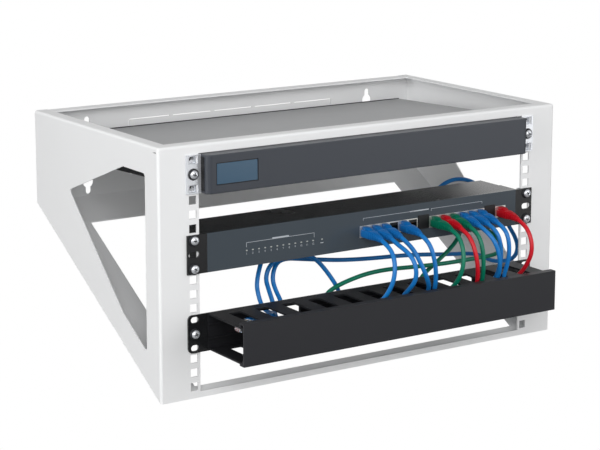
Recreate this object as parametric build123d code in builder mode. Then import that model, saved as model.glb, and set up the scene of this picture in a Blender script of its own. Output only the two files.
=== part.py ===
from build123d import *
import math
import os

os.makedirs("parts", exist_ok=True)

# Open wall rack with a router, a network hub and a cable manager, all sizes in millimetres.
# The origin is the middle of the flat wall face. +X is to the right, +Y goes into the wall, +Z is up.

# Rack unit standard
unit = 44.45
units = 6
hole_pitch_low = 6.35
hole_pitch_mid = 22.225
hole_pitch_high = 38.1
hole_size = 9.5

# Rack sheet metal
rack_width = 550.0
rack_depth = 300.0
sheet = 1.5
front_sheet = 2.0
bend = 3.0
upright = 50.0
hole_inset = 7.55
top_bar = 10.3
bottom_bar = 7.0
wall_plate = 112.0
side_flange = 16.0
front_flange = 16.0
rear_flange = 19.0

rack_half = rack_width / 2
opening_half = rack_half - upright
opening_width = 2 * opening_half
hole_columns = 2 * (opening_half + hole_inset)
inner_half = rack_half - sheet
front = -rack_depth
top = wall_plate / 2
crease = -wall_plate / 2
opening_top = top - top_bar
floor = opening_top - units * unit
bottom = floor - bottom_bar
slope = math.atan2(crease - bottom, rack_depth)

# Cutouts of the sloped panel, as distances along the depth
slope_cut_rear = 259.0
slope_cut_front = 13.0

# Wall plate details
knockout_half = 150.0
knockout_low = 186.3
knockout_high = 255.5
slit = 1.2
bridge = 5.0
knockout_bridges = (-90.0, -30.0, 30.0, 90.0)
keyhole_x = 207.0
keyhole_bulb = 14.0
keyhole_slot = 7.0
keyhole_high_bulb = 249.0
keyhole_low_bulb = 183.0
keyhole_reach = 11.2

# Side cutout corners: distance behind the front, height above the opening's lower edge
side_cutout = ((29, 245), (79, 245), (214, 195.4), (87, 77.5), (30, 44))
side_cutout_round = 4.0
relief_length = 7.0
relief_width = 1.0
relief_height = 271.0

# Equipment places, in rack units counted from the bottom
router_unit = 5
hub_unit = 3
manager_unit = 1
panel_gap = 0.8

# Router
router_side_gap = 3.0
router_length = 247.0
router_droop = 2.4
router_cover_sheet = 1.2
router_lip = 9.0
router_bezel_overhang = 0.5
router_bezel_depth = 15.0
router_bezel_edge = 1.0
router_bezel_round = 6.0
badge_inset = 37.85
badge_width = 51.4
badge_height = 22.8
badge_gap = 1.0
badge_recess = 1.2
badge_thickness = 0.7
ear_sheet = 2.0
ear_edge = 8.45
ear_window_width = 12.0
ear_window_height = 9.0

# Hub
hub_side_gap = 9.0
hub_depth = 66.0
hub_face_thickness = 3.0
hub_ear_flange = 30.0
port_pitch = 13.7
port_count = 6
port_group_low = 13.25
port_group_height = 13.7
port_groups_gap = 17.3
uplink_gap = 16.5
uplink_width = 15.7
uplink_inset = 15.85
port_width = 11.8
port_height = 8.4
port_depth = 13.0
block_depth = 15.0
block_proud = 0.5
filler_width = 15.5
filler_height = 16.4
filler_proud = 1.0
hub_face_recess = 1.0
ear_slot_length = 10.0
hub_ear_slot_length = 13.5
hub_ear_slot_height = 7.0

# Cable manager
manager_round = 5.5
plate_slot_height = 6.8
pass_through_inset = 92.4
pass_through_width = 56.0
pass_through_low = 49.0
pass_through_high = 81.0
pass_through_round = 3.0
manager_side_gap = 8.6
duct_depth = 76.0
duct_wall = 2.0
duct_low = 47.0
duct_high = 88.0
duct_slots = 12
duct_slot_pitch = 34.5
duct_slot_width = 16.0
duct_slot_front = 60.0
duct_slot_rear = 15.0
duct_slot_round = 2.0
duct_lip = 3.0
duct_rib = 2.0
duct_rib_heights = (60.0, 76.0)
cover_low = 45.0
cover_high = 92.6
cover_front = 78.0
cover_wall = 2.0
cover_lip = 9.0

# Fasteners
nut_size = 12.5
nut_depth = 7.0
nut_neck = 9.2
nut_bore = 6.0
screw_head = 9.6
screw_head_height = 3.6
screw_shank = 5.8
screw_length = 14.0
washer_size = 13.0
washer_thickness = 1.0

# Patch leads
lead_size = 5.2
plug_width = 11.4
plug_height = 8.0
plug_nose = 11.0
boot_width = 12.4
boot_height = 9.6
boot_tip = 6.6
boot_shoulder = 11.0
free_boot = 24.0
free_nose = 18.0
port_axis = 152.0
route_hub_half = 216.0


ear_reach = hole_columns / 2 + ear_edge
router_half = opening_half - router_side_gap
router_bezel_half = router_half + router_bezel_overhang
badge_x = -router_bezel_half + badge_inset
hub_half = opening_half - hub_side_gap
uplink_left = hub_half - uplink_inset - uplink_width
port_group_right = uplink_left - uplink_gap - port_count * port_pitch
port_group_left = port_group_right - port_groups_gap - port_count * port_pitch
manager_half = opening_half - manager_side_gap
pass_through_x = manager_half - pass_through_inset


def front_plane(out):
    # Upright plane seen from the front, a distance in front of the rack's front face.
    return Plane(origin=(0, front - out, 0), x_dir=(1, 0, 0), z_dir=(0, -1, 0))


def side_plane(x):
    # Upright plane seen from the right: its first direction is the depth, its second the height.
    return Plane(origin=(x, 0, 0), x_dir=(0, 1, 0), z_dir=(1, 0, 0))


def level(height):
    # Height in the part's frame of a height above the opening's lower edge.
    return floor + height


def finish(part, name):
    part.label = name
    export_step(part, f"parts/{name}.step")


def hole_heights(index):
    # Heights of the three mounting holes of one rack unit.
    return [level(index * unit + step) for step in (hole_pitch_low, hole_pitch_mid, hole_pitch_high)]


def slope_height(depth):
    # Height of the sloped panel's outer face at a distance behind the front face.
    return bottom + depth * math.tan(slope)


# Front frame: a flat plate with one tall opening, turned back all round its top and sides
all_holes = [(x, z) for index in range(units) for z in hole_heights(index)
             for x in (-hole_columns / 2, hole_columns / 2)]

with BuildPart() as front_frame:
    with BuildSketch(front_plane(0)):
        with Locations((0, (top + bottom) / 2)):
            Rectangle(rack_width, top - bottom)
    extrude(amount=-front_flange)
    fillet(front_frame.edges().filter_by(Axis.Z).group_by(Axis.Y)[0], bend)
    fillet(front_frame.faces().sort_by(Axis.Z)[-1].edges().group_by(Axis.Y)[0], bend)
    with BuildSketch(front_plane(-front_sheet)):
        with Locations((0, (top + bottom) / 2 - sheet)):
            Rectangle(rack_width - 2 * sheet, top - bottom)
    extrude(amount=-front_flange, mode=Mode.SUBTRACT)
    with BuildSketch(front_plane(0)):
        with Locations((0, (opening_top + floor) / 2)):
            Rectangle(opening_width, units * unit)
        with Locations(*all_holes):
            Rectangle(hole_size, hole_size)
    extrude(amount=-front_sheet, mode=Mode.SUBTRACT)
    with BuildSketch(side_plane(-rack_half)):
        with BuildLine():
            Polyline(
                (front, bottom), (front + front_flange, slope_height(front_flange)),
                (front + front_flange, bottom - bend), (front, bottom - bend), close=True)
        make_face()
        with Locations((front + bend + relief_length / 2, level(relief_height))):
            Rectangle(relief_length, relief_width)
    extrude(amount=rack_width, mode=Mode.SUBTRACT)
finish(front_frame.part, "front_frame")


def side_panel(sign, name):
    # Side sheet with its top edge turned inwards, cut to the slope and with its large window.
    outer = sign * rack_half
    inner = sign * (rack_half - side_flange)
    with BuildPart() as panel:
        with BuildSketch(Plane(origin=(0, front + front_flange, 0), x_dir=(1, 0, 0), z_dir=(0, -1, 0))):
            with BuildLine():
                FilletPolyline((outer, bottom), (outer, top), (inner, top), radius=bend)
                offset(amount=sheet, side=Side.LEFT if sign > 0 else Side.RIGHT)
            make_face()
        extrude(amount=-(rack_depth - front_flange))
        with BuildSketch(side_plane(-rack_half)):
            with BuildLine():
                Polyline((front, bottom), (0, crease), (0, bottom), close=True)
            make_face()
        extrude(amount=rack_width, mode=Mode.SUBTRACT)
        with BuildSketch(side_plane(-rack_half)):
            with BuildLine():
                Polyline(*[(front + depth, level(height)) for depth, height in side_cutout], close=True)
            window = make_face()
            fillet(window.vertices(), side_cutout_round)
        extrude(amount=rack_width, mode=Mode.SUBTRACT)
    finish(panel.part, name)


side_panel(-1, "left_side_panel")
side_panel(1, "right_side_panel")

# Back panel: the flat wall plate, its forward top flange and the sloped panel below the crease
with BuildPart() as back_panel:
    with BuildSketch(side_plane(-inner_half)):
        with BuildLine():
            FilletPolyline(
                (-rear_flange, top), (0, top), (0, crease), (front, bottom), radius=bend)
            offset(amount=sheet, side=Side.RIGHT)
        make_face()
    extrude(amount=2 * inner_half)
    with BuildSketch(Plane.XY.offset(bottom)):
        with Locations((0, front + (slope_cut_front + slope_cut_rear) / 2)):
            Rectangle(opening_width, slope_cut_rear - slope_cut_front)
    extrude(amount=crease - bottom, mode=Mode.SUBTRACT)
    with BuildSketch(side_plane(-inner_half)):
        with Locations((front, bottom)):
            Rectangle(2 * front_sheet, 2 * unit)
    extrude(amount=2 * inner_half, mode=Mode.SUBTRACT)
    flange_trim = inner_half - (rack_half - side_flange)
    with BuildSketch(Plane.XY.offset(top - bend)):
        trim_x = inner_half - flange_trim / 2
        with Locations((-trim_x, -rear_flange / 2), (trim_x, -rear_flange / 2)):
            Rectangle(flange_trim, rear_flange)
    extrude(amount=bend, mode=Mode.SUBTRACT)
    with BuildSketch(Plane(origin=(0, 0, 0), x_dir=(1, 0, 0), z_dir=(0, -1, 0))):
        with Locations((0, level((knockout_low + knockout_high) / 2))):
            RectangleRounded(2 * knockout_half, knockout_high - knockout_low, bend)
            RectangleRounded(2 * knockout_half - 2 * slit, knockout_high - knockout_low - 2 * slit, bend - slit,
                             mode=Mode.SUBTRACT)
        with Locations(*[(x, level(z)) for x in knockout_bridges for z in (knockout_low, knockout_high)]):
            Rectangle(bridge, 3 * bend, mode=Mode.SUBTRACT)
    extrude(amount=sheet, mode=Mode.SUBTRACT)
    with BuildSketch(Plane(origin=(0, 0, 0), x_dir=(1, 0, 0), z_dir=(0, -1, 0))):
        for x in (-keyhole_x, keyhole_x):
            for bulb, way in ((keyhole_high_bulb, 1), (keyhole_low_bulb, -1)):
                with Locations((x, level(bulb))):
                    Circle(keyhole_bulb / 2)
                with Locations((x, level(bulb + way * keyhole_reach / 2))):
                    Rectangle(keyhole_slot, keyhole_reach)
                with Locations((x, level(bulb + way * keyhole_reach))):
                    Circle(keyhole_slot / 2)
    extrude(amount=sheet, mode=Mode.SUBTRACT)
finish(back_panel.part, "back_panel")

# Router: a tilted case behind an upright bezel, because the case hangs from its front ears
router_low = level(router_unit * unit) + panel_gap
router_high = level((router_unit + 1) * unit) - panel_gap
router_middle = (router_low + router_high) / 2
tilt = math.radians(router_droop)
router_deck = Plane(origin=(0, front, router_middle), x_dir=(1, 0, 0),
                    z_dir=(0, math.sin(tilt), math.cos(tilt)))
case_height = router_high - router_low - 2 * router_cover_sheet

with BuildPart() as router_case:
    with BuildSketch(router_deck.offset(-case_height / 2)):
        with Locations((0, router_length / 2)):
            Rectangle(2 * (router_half - router_cover_sheet), router_length)
    extrude(amount=case_height)
    with BuildSketch(front_plane(0)):
        with Locations((0, router_middle)):
            Rectangle(2 * router_half, 2 * unit)
    extrude(amount=router_bezel_depth, mode=Mode.SUBTRACT)
finish(router_case.part, "router_case")

with BuildPart() as router_cover:
    with BuildSketch(router_deck.offset(case_height / 2)):
        with Locations((0, router_length / 2 + ear_sheet)):
            Rectangle(2 * router_half, router_length - 2 * ear_sheet)
    extrude(amount=router_cover_sheet)
    with BuildSketch(router_deck.offset(case_height / 2 - router_lip)):
        for x in (-router_half + router_cover_sheet / 2, router_half - router_cover_sheet / 2):
            with Locations((x, router_length / 2 + ear_sheet)):
                Rectangle(router_cover_sheet, router_length - 2 * ear_sheet)
    extrude(amount=router_lip)
finish(router_cover.part, "router_cover")

with BuildPart() as router_bezel:
    with BuildSketch(Plane.XY.offset(router_low)):
        with Locations((0, front - router_bezel_depth / 2)):
            Rectangle(2 * router_bezel_half, router_bezel_depth)
    extrude(amount=router_high - router_low)
    fillet(router_bezel.edges().filter_by(Axis.Z).group_by(Axis.Y)[0], router_bezel_round)
    fillet(router_bezel.edges().filter_by(Axis.X).group_by(Axis.Y)[0], router_bezel_edge)
    with BuildSketch(front_plane(router_bezel_depth)):
        with Locations((badge_x, router_middle)):
            Rectangle(badge_width + 2 * badge_gap, badge_height + 2 * badge_gap)
    extrude(amount=-badge_recess, mode=Mode.SUBTRACT)
finish(router_bezel.part, "router_bezel")

with BuildPart() as router_badge:
    with BuildSketch(front_plane(router_bezel_depth - badge_recess)):
        with Locations((badge_x, router_middle)):
            Rectangle(badge_width, badge_height)
    extrude(amount=badge_thickness)
finish(router_badge.part, "router_badge")


def router_ear(sign, name):
    low_hole, mid_hole, high_hole = hole_heights(router_unit)
    column = sign * hole_columns / 2
    inner_edge = sign * (router_half + panel_gap)
    with BuildPart() as ear:
        with BuildSketch(front_plane(0)):
            with Locations(((sign * ear_reach + inner_edge) / 2, router_middle)):
                Rectangle(ear_reach - router_half - panel_gap, router_high - router_low)
            with Locations((column, low_hole), (column, high_hole)):
                Rectangle(ear_window_width, ear_window_height, mode=Mode.SUBTRACT)
            with Locations((column, mid_hole)):
                Circle(screw_shank / 2 + panel_gap / 2, mode=Mode.SUBTRACT)
        extrude(amount=ear_sheet)
    finish(ear.part, name)


router_ear(-1, "router_left_ear")
router_ear(1, "router_right_ear")

# Hub: a shallow case with a plastic face, two port blocks and an uplink port
hub_low = level(hub_unit * unit) + panel_gap / 2
hub_high = level((hub_unit + 1) * unit) - panel_gap / 2
hub_middle = (hub_low + hub_high) / 2
hub_back = front + hub_depth
hub_face_back = front + hub_face_recess

with BuildPart() as hub_case:
    with BuildSketch(Plane.XY.offset(hub_low)):
        with Locations((0, (hub_face_back + hub_back) / 2)):
            Rectangle(2 * hub_half, hub_back - hub_face_back)
    extrude(amount=hub_high - hub_low)
    with BuildSketch(front_plane(-hub_face_recess)):
        group_middle = level(hub_unit * unit + port_group_low + port_group_height / 2)
        for left in (port_group_left, port_group_right):
            with Locations((left + port_count * port_pitch / 2, group_middle)):
                Rectangle(port_count * port_pitch, port_group_height)
        with Locations((uplink_left + uplink_width / 2, group_middle)):
            Rectangle(uplink_width, port_group_height)
    extrude(amount=-block_depth, mode=Mode.SUBTRACT)
finish(hub_case.part, "hub_case")

with BuildPart() as hub_face:
    with BuildSketch(front_plane(-hub_face_recess)):
        with Locations((0, hub_middle)):
            Rectangle(2 * hub_half, hub_high - hub_low)
        for left in (port_group_left, port_group_right):
            with Locations((left + port_count * port_pitch / 2, group_middle)):
                Rectangle(port_count * port_pitch, port_group_height, mode=Mode.SUBTRACT)
        with Locations((uplink_left + uplink_width / 2, group_middle)):
            Rectangle(uplink_width, port_group_height, mode=Mode.SUBTRACT)
    extrude(amount=hub_face_thickness)
finish(hub_face.part, "hub_face")


def port_block(left, width, centres, name):
    with BuildPart() as block:
        with BuildSketch(front_plane(hub_face_thickness - hub_face_recess + block_proud)):
            with Locations((left + width / 2, group_middle)):
                Rectangle(width, port_group_height)
        extrude(amount=-(block_depth + hub_face_thickness + block_proud - hub_face_recess))
        with BuildSketch(front_plane(hub_face_thickness - hub_face_recess + block_proud)):
            with Locations(*[(x, level(port_axis)) for x in centres]):
                Rectangle(port_width, port_height)
        extrude(amount=-port_depth, mode=Mode.SUBTRACT)
    finish(block.part, name)


left_ports = [port_group_left + (i + 0.5) * port_pitch for i in range(port_count)]
right_ports = [port_group_right + (i + 0.5) * port_pitch for i in range(port_count)]
uplink_port = uplink_left + uplink_width / 2
port_block(port_group_left, port_count * port_pitch, left_ports, "hub_left_ports")
port_block(port_group_right, port_count * port_pitch, right_ports, "hub_right_ports")
port_block(uplink_left, uplink_width, [uplink_port], "hub_uplink_port")

filler_places = (port_group_right - port_groups_gap / 2, uplink_left - uplink_gap / 2)
with BuildPart() as hub_port_fillers:
    with BuildSketch(front_plane(hub_face_thickness - hub_face_recess)):
        filler_middle = level(hub_unit * unit + port_group_low + filler_height / 2)
        with Locations(*[(x, filler_middle) for x in filler_places]):
            Rectangle(filler_width, filler_height)
    extrude(amount=filler_proud)
finish(hub_port_fillers.part, "hub_port_fillers")


def hub_ear(sign, name):
    low_hole, mid_hole, high_hole = hole_heights(hub_unit)
    column = sign * hole_columns / 2
    with BuildPart() as ear:
        with BuildSketch(front_plane(0)):
            with Locations((sign * (ear_reach + hub_half) / 2, hub_middle)):
                Rectangle(ear_reach - hub_half, hub_high - hub_low)
            with Locations((column, low_hole), (column, high_hole)):
                Circle(screw_shank / 2 + panel_gap / 2, mode=Mode.SUBTRACT)
            with Locations((column, mid_hole)):
                SlotOverall(hub_ear_slot_length, hub_ear_slot_height, mode=Mode.SUBTRACT)
        extrude(amount=ear_sheet)
        with BuildSketch(side_plane(sign * hub_half)):
            with Locations((front + hub_ear_flange / 2 - ear_sheet / 2, hub_middle)):
                Rectangle(hub_ear_flange + ear_sheet, hub_high - hub_low)
        extrude(amount=sign * ear_sheet)
    finish(ear.part, name)


hub_ear(-1, "hub_left_ear")
hub_ear(1, "hub_right_ear")

# Cable manager: a plate with ears, a slotted duct open at both ends and a snap-on cover
plate_low = level(manager_unit * unit) + panel_gap
plate_high = level((manager_unit + 1) * unit) - panel_gap
plate_middle = (plate_low + plate_high) / 2
pass_through_middle = level((pass_through_low + pass_through_high) / 2)
pass_throughs = [(-pass_through_x, pass_through_middle), (pass_through_x, pass_through_middle)]

with BuildPart() as manager_plate:
    with BuildSketch(front_plane(0)):
        with Locations((0, plate_middle)):
            RectangleRounded(2 * ear_reach, plate_high - plate_low, manager_round)
        low_hole, mid_hole, high_hole = hole_heights(manager_unit)
        for x in (-hole_columns / 2, hole_columns / 2):
            with Locations((x, low_hole), (x, high_hole)):
                SlotOverall(ear_slot_length, plate_slot_height, mode=Mode.SUBTRACT)
            with Locations((x, mid_hole)):
                Circle(screw_shank / 2 + panel_gap / 2, mode=Mode.SUBTRACT)
        with Locations(*pass_throughs):
            RectangleRounded(pass_through_width, pass_through_high - pass_through_low, pass_through_round,
                             mode=Mode.SUBTRACT)
    extrude(amount=ear_sheet)
finish(manager_plate.part, "manager_plate")

with BuildPart() as manager_duct:
    with BuildSketch(side_plane(-manager_half)):
        with BuildLine():
            duct_front, duct_back = front - duct_depth, front - ear_sheet
            inner_low, inner_high = level(duct_low) + duct_wall, level(duct_high) - duct_wall
            Polyline(
                (duct_front, level(duct_high)), (duct_back, level(duct_high)), (duct_back, level(duct_low)),
                (duct_front, level(duct_low)), (duct_front, inner_low + duct_lip),
                (duct_front + duct_wall, inner_low + duct_lip), (duct_front + duct_wall, inner_low),
                (duct_back - duct_wall, inner_low), (duct_back - duct_wall, inner_high),
                (duct_front + duct_wall, inner_high), (duct_front + duct_wall, inner_high - duct_lip),
                (duct_front, inner_high - duct_lip), close=True)
        make_face()
        with Locations(*[(duct_back - duct_wall - duct_rib / 2, level(z)) for z in duct_rib_heights]):
            Rectangle(duct_rib, duct_rib)
    extrude(amount=2 * manager_half)
    with BuildSketch(front_plane(ear_sheet)):
        with Locations(*pass_throughs):
            RectangleRounded(pass_through_width, pass_through_high - pass_through_low, pass_through_round)
    extrude(amount=duct_wall + duct_rib, mode=Mode.SUBTRACT)
    with BuildSketch(Plane.XY.offset(level(duct_low))):
        with Locations((0, front - (duct_slot_front + duct_slot_rear) / 2)):
            with GridLocations(duct_slot_pitch, 1, duct_slots, 1):
                RectangleRounded(duct_slot_width, duct_slot_front - duct_slot_rear, duct_slot_round)
    extrude(amount=duct_high - duct_low, mode=Mode.SUBTRACT)
finish(manager_duct.part, "manager_duct")

with BuildPart() as manager_cover:
    with BuildSketch(side_plane(-manager_half)):
        with BuildLine():
            cover_inner = cover_front - cover_wall
            Polyline(
                (front - cover_front, level(cover_high)), (front - cover_front + cover_lip, level(cover_high)),
                (front - cover_front + cover_lip, level(duct_high)),
                (front - cover_front + cover_lip - cover_wall, level(duct_high)),
                (front - cover_front + cover_lip - cover_wall, level(cover_high) - cover_wall),
                (front - cover_inner, level(cover_high) - cover_wall),
                (front - cover_inner, level(cover_low) + cover_wall),
                (front - cover_front + cover_lip, level(cover_low) + cover_wall),
                (front - cover_front + cover_lip, level(cover_low)), (front - cover_front, level(cover_low)),
                close=True)
        make_face()
    extrude(amount=2 * manager_half)
finish(manager_cover.part, "manager_cover")

# Fasteners: cage nuts clipped behind the square holes, screws with cup washers in front
nut_places = []
screw_places = []
for x in (-hole_columns / 2, hole_columns / 2):
    for z in hole_heights(router_unit):
        nut_places.append((x, z))
    nut_places.append((x, hole_heights(hub_unit)[0]))
    nut_places.append((x, hole_heights(hub_unit)[2]))
    nut_places.append((x, hole_heights(manager_unit)[1]))
    screw_places.append((x, hole_heights(router_unit)[1]))
    screw_places.append((x, hole_heights(hub_unit)[0]))
    screw_places.append((x, hole_heights(hub_unit)[2]))
    screw_places.append((x, hole_heights(manager_unit)[1]))

with BuildPart() as cage_nuts:
    with BuildSketch(front_plane(-front_sheet)):
        with Locations(*nut_places):
            Rectangle(nut_size, nut_size)
    extrude(amount=-nut_depth)
    with BuildSketch(front_plane(0)):
        with Locations(*nut_places):
            Rectangle(nut_neck, nut_neck)
    extrude(amount=-front_sheet)
    with BuildSketch(front_plane(0)):
        with Locations(*nut_places):
            Circle(nut_bore / 2)
    extrude(amount=-(front_sheet + nut_depth), mode=Mode.SUBTRACT)
finish(cage_nuts.part, "cage_nuts")

with BuildPart() as cup_washers:
    with BuildSketch(front_plane(ear_sheet)):
        with Locations(*screw_places):
            Circle(washer_size / 2)
            Circle(screw_shank / 2 + panel_gap / 4, mode=Mode.SUBTRACT)
    extrude(amount=washer_thickness)
finish(cup_washers.part, "cup_washers")

with BuildPart() as screws:
    with BuildSketch(front_plane(ear_sheet + washer_thickness)):
        with Locations(*screw_places):
            Circle(screw_head / 2)
    extrude(amount=screw_head_height)
    with BuildSketch(front_plane(ear_sheet + washer_thickness)):
        with Locations(*screw_places):
            Circle(screw_shank / 2)
    extrude(amount=-screw_length)
finish(screws.part, "screws")

# Patch leads: routes as (across, out of the front face, height above the opening's lower edge)
lead_routes = {
    "lead_1": [(-6.9, 37, 149), (-7.1, 49.4, 145), (-8, 60, 137.5), (-10, 66.5, 126), (-12, 67.5, 112),
               (-14, 62.5, 98.5), (-16, 53.5, 86.5), (-21, 44, 76), (-34, 39, 69), (-54, 38.5, 66.5),
               (-84, 38, 66), (-112, 38, 66)],
    "lead_2": [(6.8, 37, 149), (6.8, 51.3, 144.4), (7.2, 65, 140.5), (8.3, 76.5, 133), (9.3, 81, 121),
               (10.5, 77, 108), (12, 65.5, 97.5), (13.5, 52, 86.5), (11, 43, 74.5), (0, 33.5, 64),
               (-14, 28, 58.5), (-31, 25.5, 56.5), (-50, 25, 56.5)],
    "lead_3": [(20.5, 37, 149), (20.5, 49.4, 145), (22.5, 59.5, 137), (26.5, 65, 125),
               (32.5, 66.5, 112), (40, 62.5, 99.5), (47.5, 54, 88), (46.5, 45, 77), (36, 36, 71),
               (18, 28, 69), (0, 25, 69)],
    "lead_4": [(47.9, 37, 149), (47.9, 47.5, 145.6), (49, 55.5, 137), (50.8, 58.5, 125.5),
               (52.8, 59.5, 112), (54.8, 57, 98), (56.3, 52, 84), (60, 46, 71), (70, 41, 62),
               (84, 38.5, 57.5), (98, 38, 57.5)],
    "lead_5": [(92.6, 37, 149), (92.6, 48.5, 145.3), (91.7, 57.5, 136.5), (90.5, 62.5, 125),
               (89, 63.8, 112), (87.2, 60, 98.5), (84.8, 51, 85.5), (79, 41, 75.5), (68, 28, 66),
               (50, 18, 58.5), (28, 13.5, 56), (4, 13, 56)],
    "lead_6": [(106.3, 37, 149), (106.3, 48.5, 145.3), (106.9, 57.5, 136.5), (107.8, 62.8, 125),
               (109.8, 64, 112), (113.8, 60, 98), (117.5, 53.5, 84.5), (113, 51, 70), (98, 51, 61),
               (76, 52, 57), (40, 52.5, 56), (-15, 52, 55.5), (-65, 52, 55), (-110, 52.5, 55.5),
               (-136, 52.5, 57), (-154, 52, 62), (-169, 52, 67.5)],
    "lead_7": [(120, 37, 149), (120, 47.8, 145.5), (120.4, 55.8, 137), (121, 59.5, 125.5),
               (121.8, 60.2, 112), (123.3, 57.8, 98), (125, 53, 84.5), (130.5, 52, 70.5),
               (143, 51, 60), (156, 51, 58), (170, 51.3, 58)],
    "lead_8": [(133.7, 37, 149), (133.7, 49.4, 145), (137, 58.5, 137), (140.8, 62.5, 125.5),
               (144.5, 62, 112.5), (148, 58.3, 99), (150.8, 50.5, 86), (148, 40, 75.5),
               (141, 30.5, 66.5), (131, 26, 60.5), (117, 25, 59.8)],
    "lead_9": [(147.4, 37, 149), (147.4, 47.1, 145.7), (149, 54, 137.5), (151, 55, 126.5),
               (153.3, 53.5, 113), (155, 49, 99.5), (155.5, 43, 86.5), (153, 35, 78), (144, 28, 73.5),
               (130, 27, 72.5)],
    "lead_10": [(161.1, 37, 149), (161.1, 47.5, 145.6), (161.8, 54.5, 137.5), (162.3, 57, 126),
                (162.2, 57, 112.5), (161.6, 53.5, 99), (160, 50, 86), (159, 53, 73), (152, 59, 63.5),
                (138, 63.5, 58.5), (114, 64, 57), (78, 64, 56.5), (30, 64, 56), (-20, 64, 56)],
    "lead_11": [(192.3, 37, 149), (192.3, 48.5, 145.3), (192.4, 57.5, 136.5), (192.6, 62.3, 125),
                (192.3, 61.8, 112), (191.4, 55.5, 99.5), (190, 46.5, 87), (185, 35, 76.5),
                (174, 24, 70), (156, 16, 68), (132, 13.5, 67.5), (100, 13, 67.5), (68, 13, 67.5)],
}

# Rear leads: they come out of the duct's pass-through or hang behind the plate, and run behind the hub
rear_routes = {
    "lead_12": [(-152, 20, 77), (-138.5, 15.5, 76.5), (-131, 3, 75), (-130, -11, 73), (-130, -24, 77),
                (-130, -32, 89), (-131, -34, 103), (-119, -43, 124), (-103, -60, 128), (-82, -76, 131),
                (-45, -84, 134), (25, -86, 134), (95, -86, 134), (133, -86, 142), (148, -86, 155),
                (164, -86, 169), (184, -86, 178.3), (206, -86, 177.5), (225, -84, 169),
                (241, -76, 152), (247, -60, 135), (249, -50, 119), (256, -45, 105), (262, -46, 90),
                (264, -55, 75), (259, -69, 68), (244, -77, 69), (229, -75, 78), (207, -71, 85),
                (172, -70, 88.5), (111, -70, 96), (52, -70, 99), (9, -69, 103), (-26, -66, 109),
                (-56, -58, 115.5), (-80, -50, 121), (-97, -42, 121), (-105.5, -37, 114.5),
                (-109.5, -34, 104), (-107.5, -32, 93), (-101.5, -29.5, 79), (-99.5, -23, 64),
                (-100.5, -11, 56.2), (-101, 2, 56)],
    "lead_13": [(-114.5, 2, 56), (-114.3, -11, 56.2), (-113, -23, 64), (-111.5, -29.5, 77),
                (-115, -33, 92), (-119, -34, 106), (-113, -35, 120), (-98, -37, 126), (-75, -39, 124),
                (-52, -44, 122), (-39, -46, 113), (-30, -42, 101), (-20, -38, 85), (-14, -37, 72),
                (-13, -37, 60)],
    "lead_14": [(-42, -31, 58), (-42, -31, 68), (-36, -31, 78), (-22, -30.5, 84.5), (-3, -30, 89.5),
                (20, -30, 93.5), (50, -30, 94.5), (90, -30, 92), (135, -30, 90), (180, -31, 90),
                (212, -33, 89.5), (230, -40, 92), (239, -52, 99), (236, -67, 109), (222, -79, 118),
                (205, -81, 121), (190, -71, 118), (177, -58, 112), (157, -48, 102), (130, -41, 90),
                (109, -38, 79), (99, -37, 68), (97, -37, 57)],
}

lead_colours = {
    "blue": ("lead_1", "lead_2", "lead_3", "lead_4", "lead_8", "lead_9", "lead_10", "lead_12", "lead_13"),
    "green": ("lead_5", "lead_7", "lead_14"),
    "red": ("lead_6", "lead_11"),
}
port_face = hub_face_thickness - hub_face_recess + block_proud


def route_point(point):
    across, out, height = point
    # The routes are laid out for one width of hub and follow its ports when that changes.
    return Vector(across + hub_half - route_hub_half, front - out, level(height))


def route_radii(points):
    # Each bend is as round as the shorter of its two runs allows.
    radii = []
    for before, at, after in zip(points, points[1:], points[2:]):
        turn = math.radians((at - before).get_angle(after - at))
        radii.append(0.45 * min((at - before).length, (after - at).length) / math.tan(turn / 2))
    return radii


all_routes = {**lead_routes, **rear_routes}
for lead_name, route in all_routes.items():
    points = [route_point(point) for point in route]
    radii = route_radii(points)
    print(lead_name, "radii", [round(r, 1) for r in radii])
    with BuildPart() as lead:
        with BuildLine() as path:
            FilletPolyline(*points, radius=radii)
        with BuildSketch(Plane(origin=path.line @ 0, z_dir=path.line % 0)):
            Circle(lead_size / 2)
        sweep()
    length = sum(edge.length for edge in path.line.edges())
    expected = math.pi * (lead_size / 2) ** 2 * length
    print(lead_name, "length", round(length, 1), "volume ratio", round(lead.part.volume / expected, 4))
    finish(lead.part, lead_name)


def hub_plug(route):
    # Nose in the port, square shoulder, then a boot that narrows and droops to meet the lead.
    tip, after = route_point(route[0]), route_point(route[1])
    with BuildPart() as plug:
        with BuildSketch(front_plane(port_face)):
            with Locations((tip.X, level(port_axis))):
                Rectangle(boot_width, boot_height)
        extrude(amount=boot_shoulder)
        with BuildSketch(front_plane(port_face + boot_shoulder)):
            with Locations((tip.X, level(port_axis))):
                Rectangle(boot_width, boot_height)
        with BuildSketch(Plane(origin=tip, x_dir=(1, 0, 0), z_dir=after - tip)):
            Rectangle(boot_tip, boot_tip)
        loft()
        with BuildSketch(front_plane(port_face)):
            with Locations((tip.X, level(port_axis))):
                Rectangle(plug_width, plug_height)
        extrude(amount=-plug_nose)
    return plug.part


def free_plug(end, before):
    # Boot and nose that carry on straight from the end of a lead.
    tip = route_point(end)
    heading = (tip - route_point(before)).normalized()
    steep = abs(heading.Z) > math.sin(math.pi / 4)
    side = Vector(1, 0, 0) if steep else heading.cross(Vector(0, 0, 1)).normalized()
    boot_end = Plane(origin=tip, x_dir=side, z_dir=heading)
    with BuildPart() as plug:
        with BuildSketch(boot_end):
            Rectangle(boot_tip, boot_tip)
        with BuildSketch(boot_end.offset(free_boot)):
            Rectangle(boot_width, boot_height)
        loft()
        with BuildSketch(boot_end.offset(free_boot)):
            Rectangle(plug_width, plug_height)
        extrude(amount=free_nose)
    return plug.part


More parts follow.
